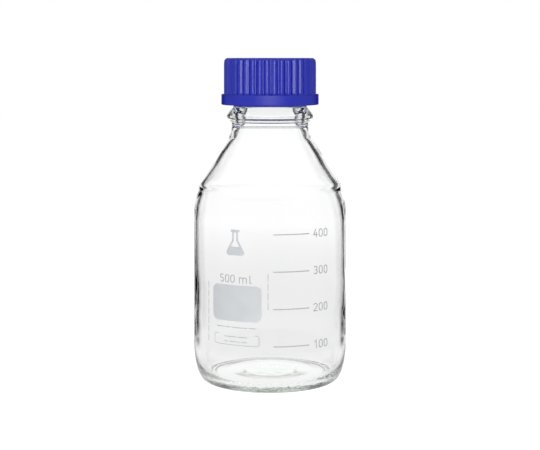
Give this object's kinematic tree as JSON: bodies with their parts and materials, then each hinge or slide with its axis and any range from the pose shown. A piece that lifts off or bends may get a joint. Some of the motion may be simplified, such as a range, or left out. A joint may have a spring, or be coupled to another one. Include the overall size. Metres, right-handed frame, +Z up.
{
  "type": "reagent bottle",
  "caption": "Clear glass screw-neck laboratory bottle with a level scale and writing panel, drip-free pouring ring, and ribbed plastic screw cap that unscrews and lifts off.",
  "frame": {"origin": "centre of the glass standing ring, on the table", "axes": "+Z up along the bottle's axis; -Y is the front, where the print faces; +X to the right seen from the front"},
  "size_m": [0.086, 0.0861, 0.181],
  "materials": {
    "borosilicate_glass": "clear, polished",
    "blue_ring_plastic": "satin polypropylene",
    "blue_cap_plastic": "satin polypropylene",
    "white_enamel": "fired matt enamel"
  },
  "bodies": {
    "bottle": {"glass_bottle": "borosilicate_glass", "graduation_marks": "white_enamel", "graduation_numbers": "white_enamel", "capacity_mark": "white_enamel", "writing_panel": "white_enamel", "code_frame": "white_enamel", "print_emblem": "white_enamel", "print_rules": "white_enamel"},
    "ring": {"pouring_ring": "blue_ring_plastic"},
    "cap": {"screw_cap": "blue_cap_plastic"}
  },
  "joints": [
    {"name": "cap_turn", "type": "hinge", "parent": "bottle", "child": "ring", "pos_m": [0, 0, 0.168], "axis": [0, 0, 1], "range_deg": [0, 2520]},
    {"name": "cap_rise", "type": "slide", "parent": "ring", "child": "cap", "axis": [0, 0, 1], "range_m": [0, 0.028]}
  ],
  "couplings": [
    {"joint": "cap_turn", "follows": "cap_rise", "rad_per_m": 1570.8}
  ]
}
